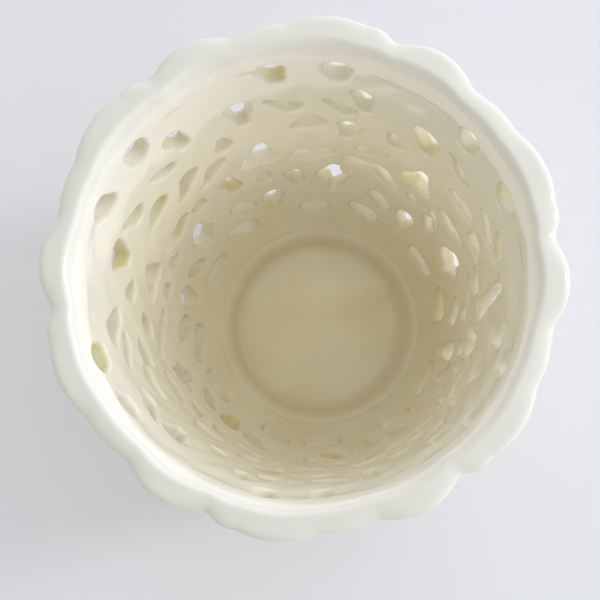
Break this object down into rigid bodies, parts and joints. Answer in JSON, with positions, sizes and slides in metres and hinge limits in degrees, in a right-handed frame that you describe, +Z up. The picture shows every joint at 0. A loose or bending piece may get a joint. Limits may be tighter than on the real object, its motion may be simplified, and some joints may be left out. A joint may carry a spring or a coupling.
{
  "type": "pierced ceramic vase",
  "caption": "Cream-glazed pierced ceramic vase with a scalloped lip, flared hand-cut openwork wall and recessed round floor, for holding cut flower stems.",
  "frame": {"origin": "middle of the foot ring's underside, on the surface that the vase stands on", "axes": "+Z up along the vase's own axis, towards the open lip; +Y towards the middle of wall panel 3; +X towards the seam between wall panels 4 and 5"},
  "size_m": [0.1336, 0.1336, 0.128],
  "materials": {
    "glaze": "glossy ivory glaze, pooling a little yellower in the cut edges",
    "bare_clay": "matt unglazed fired clay"
  },
  "bodies": {
    "root": {"foot_ring": "bare_clay", "floor_disc": "glaze", "wall_panel_1": "glaze", "wall_panel_2": "glaze", "wall_panel_3": "glaze", "wall_panel_4": "glaze", "wall_panel_5": "glaze", "wall_panel_6": "glaze", "scalloped_lip": "glaze"}
  },
  "joints": []
}
